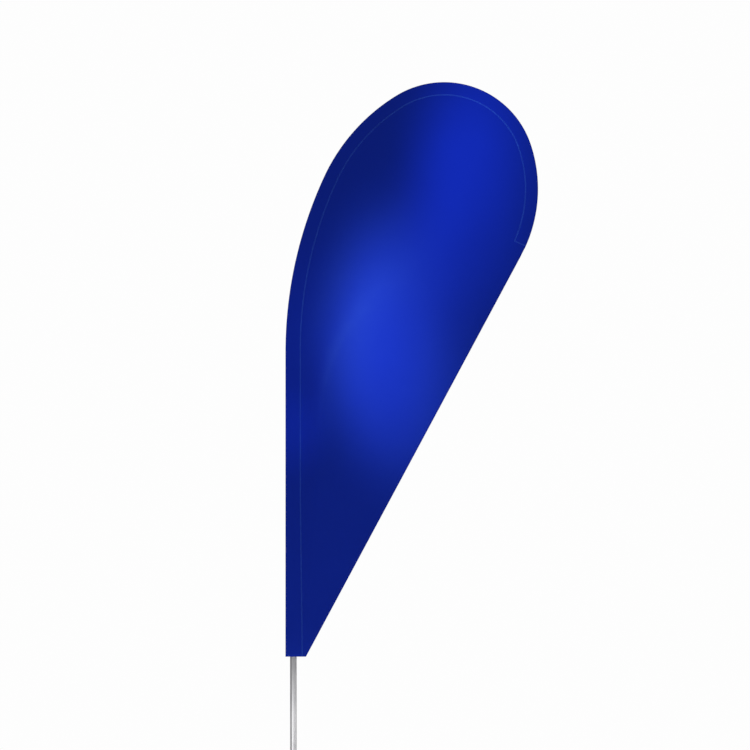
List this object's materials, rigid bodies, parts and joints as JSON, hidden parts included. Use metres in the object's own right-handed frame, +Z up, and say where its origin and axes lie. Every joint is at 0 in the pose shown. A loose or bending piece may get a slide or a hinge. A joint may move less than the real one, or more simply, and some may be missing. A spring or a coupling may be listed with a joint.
{
  "type": "teardrop flag",
  "caption": "Tall teardrop sail on a bowed pole that plugs onto a ball-bearing rotator, standing on a cross base whose upper bar folds flat over the lower one.",
  "frame": {"origin": "on the ground, under the middle of the whole object's box; the spindle's axis stands 273.7 mm towards -X from it", "axes": "+Z up, +X from the pole towards the sail's trailing edge, -Y towards the viewer of the sail's front"},
  "size_m": [1.316, 0.8692, 2.778],
  "materials": {
    "sail_cloth": "knitted polyester, dyed blue, slight satin sheen",
    "loop_elastic": "woven black elastic and webbing",
    "pole_aluminium": "satin anodised, drawn lengthwise",
    "fibreglass": "pultruded fibreglass, dark grey, slightly glossy",
    "bar_paint": "black powder coat, fine texture",
    "plain_steel": "zinc plated",
    "moulded_plastic": "black nylon, fine moulded grain",
    "foot_rubber": "matt black rubber"
  },
  "bodies": {
    "base": {"lower_bar": "bar_paint", "end_plug_1": "moulded_plastic", "end_plug_2": "moulded_plastic", "foot_pad_1": "foot_rubber", "foot_pad_2": "foot_rubber", "foot_screw_1": "plain_steel", "foot_screw_2": "plain_steel", "foot_nut_1": "plain_steel", "foot_nut_2": "plain_steel", "spindle": "plain_steel", "pivot_washer": "moulded_plastic", "clamp_washer": "plain_steel", "clamp_nut": "plain_steel", "lower_bearing_inner_race": "plain_steel", "upper_bearing_inner_race": "plain_steel", "bearing_sleeve": "plain_steel", "lock_nut": "plain_steel"},
    "folding_bar": {"upper_bar": "bar_paint", "end_plug_3": "moulded_plastic", "end_plug_4": "moulded_plastic", "foot_pad_3": "foot_rubber", "foot_pad_4": "foot_rubber", "foot_screw_3": "plain_steel", "foot_screw_4": "plain_steel", "foot_nut_3": "plain_steel", "foot_nut_4": "plain_steel"},
    "rotator": {"spigot": "moulded_plastic", "spigot_cap": "moulded_plastic", "lower_bearing_outer_race": "plain_steel", "lower_bearing_ball_cage": "plain_steel", "upper_bearing_outer_race": "plain_steel", "upper_bearing_ball_cage": "plain_steel"},
    "mast": {"lower_pole": "pole_aluminium", "middle_pole": "fibreglass", "stop_ring": "moulded_plastic", "reducer_bush": "moulded_plastic", "upper_rod": "fibreglass", "tip_cap": "foot_rubber", "tip_pad": "loop_elastic", "tension_button": "plain_steel", "tension_loop": "loop_elastic", "pole_pocket": "sail_cloth", "sail_panel": "sail_cloth"}
  },
  "joints": [
    {"name": "base_fold", "type": "hinge", "parent": "base", "child": "folding_bar", "pos_m": [-0.2737, 0, 0.038], "axis": [0, 0, 1], "range_deg": [0, 90]},
    {"name": "rotator_turn", "type": "hinge", "parent": "base", "child": "rotator", "pos_m": [-0.2737, 0, 0.138], "axis": [0, 0, 1], "continuous": true},
    {"name": "mast_lift", "type": "slide", "parent": "rotator", "child": "mast", "axis": [0, 0, 1], "range_m": [0, 0.15]}
  ]
}
